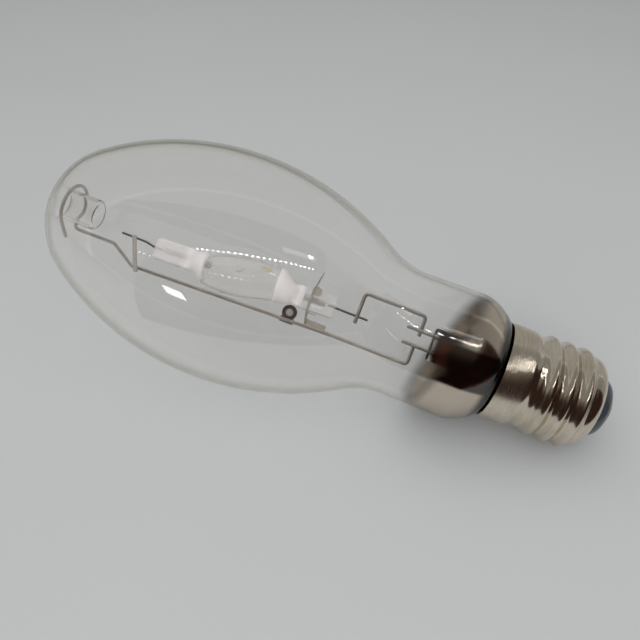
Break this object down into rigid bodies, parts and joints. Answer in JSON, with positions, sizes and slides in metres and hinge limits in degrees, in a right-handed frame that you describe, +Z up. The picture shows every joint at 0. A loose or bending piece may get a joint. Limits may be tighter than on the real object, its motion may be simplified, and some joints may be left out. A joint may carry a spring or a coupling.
{
  "type": "metal halide lamp",
  "caption": "Clear elliptical metal halide discharge lamp with a quartz arc tube on a wire mount and a large nickel-plated screw cap, lying on its side.",
  "frame": {"origin": "centre of the lamp's box on the surface that it lies on", "axes": "+X towards the screw cap in plan, +Z up; the lamp's own axis rises about 11 degrees towards the crown, which points to -X"},
  "size_m": [0.2252, 0.09, 0.0917],
  "materials": {
    "bulb_glass": "clear blown glass",
    "stem_glass": "clear pressed glass",
    "quartz": "clear fused quartz, white coated ends",
    "nickel_plated_brass": "bright nickel plate",
    "black_glass": "moulded black glass",
    "contact_brass": "stamped",
    "solder": "dull tin",
    "cement": "dark basing cement",
    "nickel_wire": "drawn nickel wire",
    "molybdenum": "dark molybdenum",
    "tungsten": "drawn tungsten",
    "strap_steel": "rolled sheet",
    "getter_iron": "flashed dark",
    "halide_salt": "cooled salt"
  },
  "bodies": {
    "root": {"outer_bulb": "bulb_glass", "stem_glass": "stem_glass", "exhaust_tube": "stem_glass", "arc_tube": "quartz", "cap_shell": "nickel_plated_brass", "cap_insulator": "black_glass", "contact_plate": "contact_brass", "contact_solder": "solder", "side_solder": "solder", "basing_cement": "cement", "return_post": "nickel_wire", "frame_post": "nickel_wire", "contact_lead_wire": "nickel_wire", "shell_lead_wire": "nickel_wire", "frame_wire": "nickel_wire", "crown_crossbar": "nickel_wire", "return_wire": "nickel_wire", "arc_lead_crown": "molybdenum", "arc_lead_base": "molybdenum", "foil_crown": "molybdenum", "foil_base": "molybdenum", "electrode_crown": "tungsten", "electrode_base": "tungsten", "electrode_coil_crown": "tungsten", "electrode_coil_base": "tungsten", "halide_dose": "halide_salt", "pinch_strap": "strap_steel", "getter_ring": "getter_iron"}
  },
  "joints": []
}
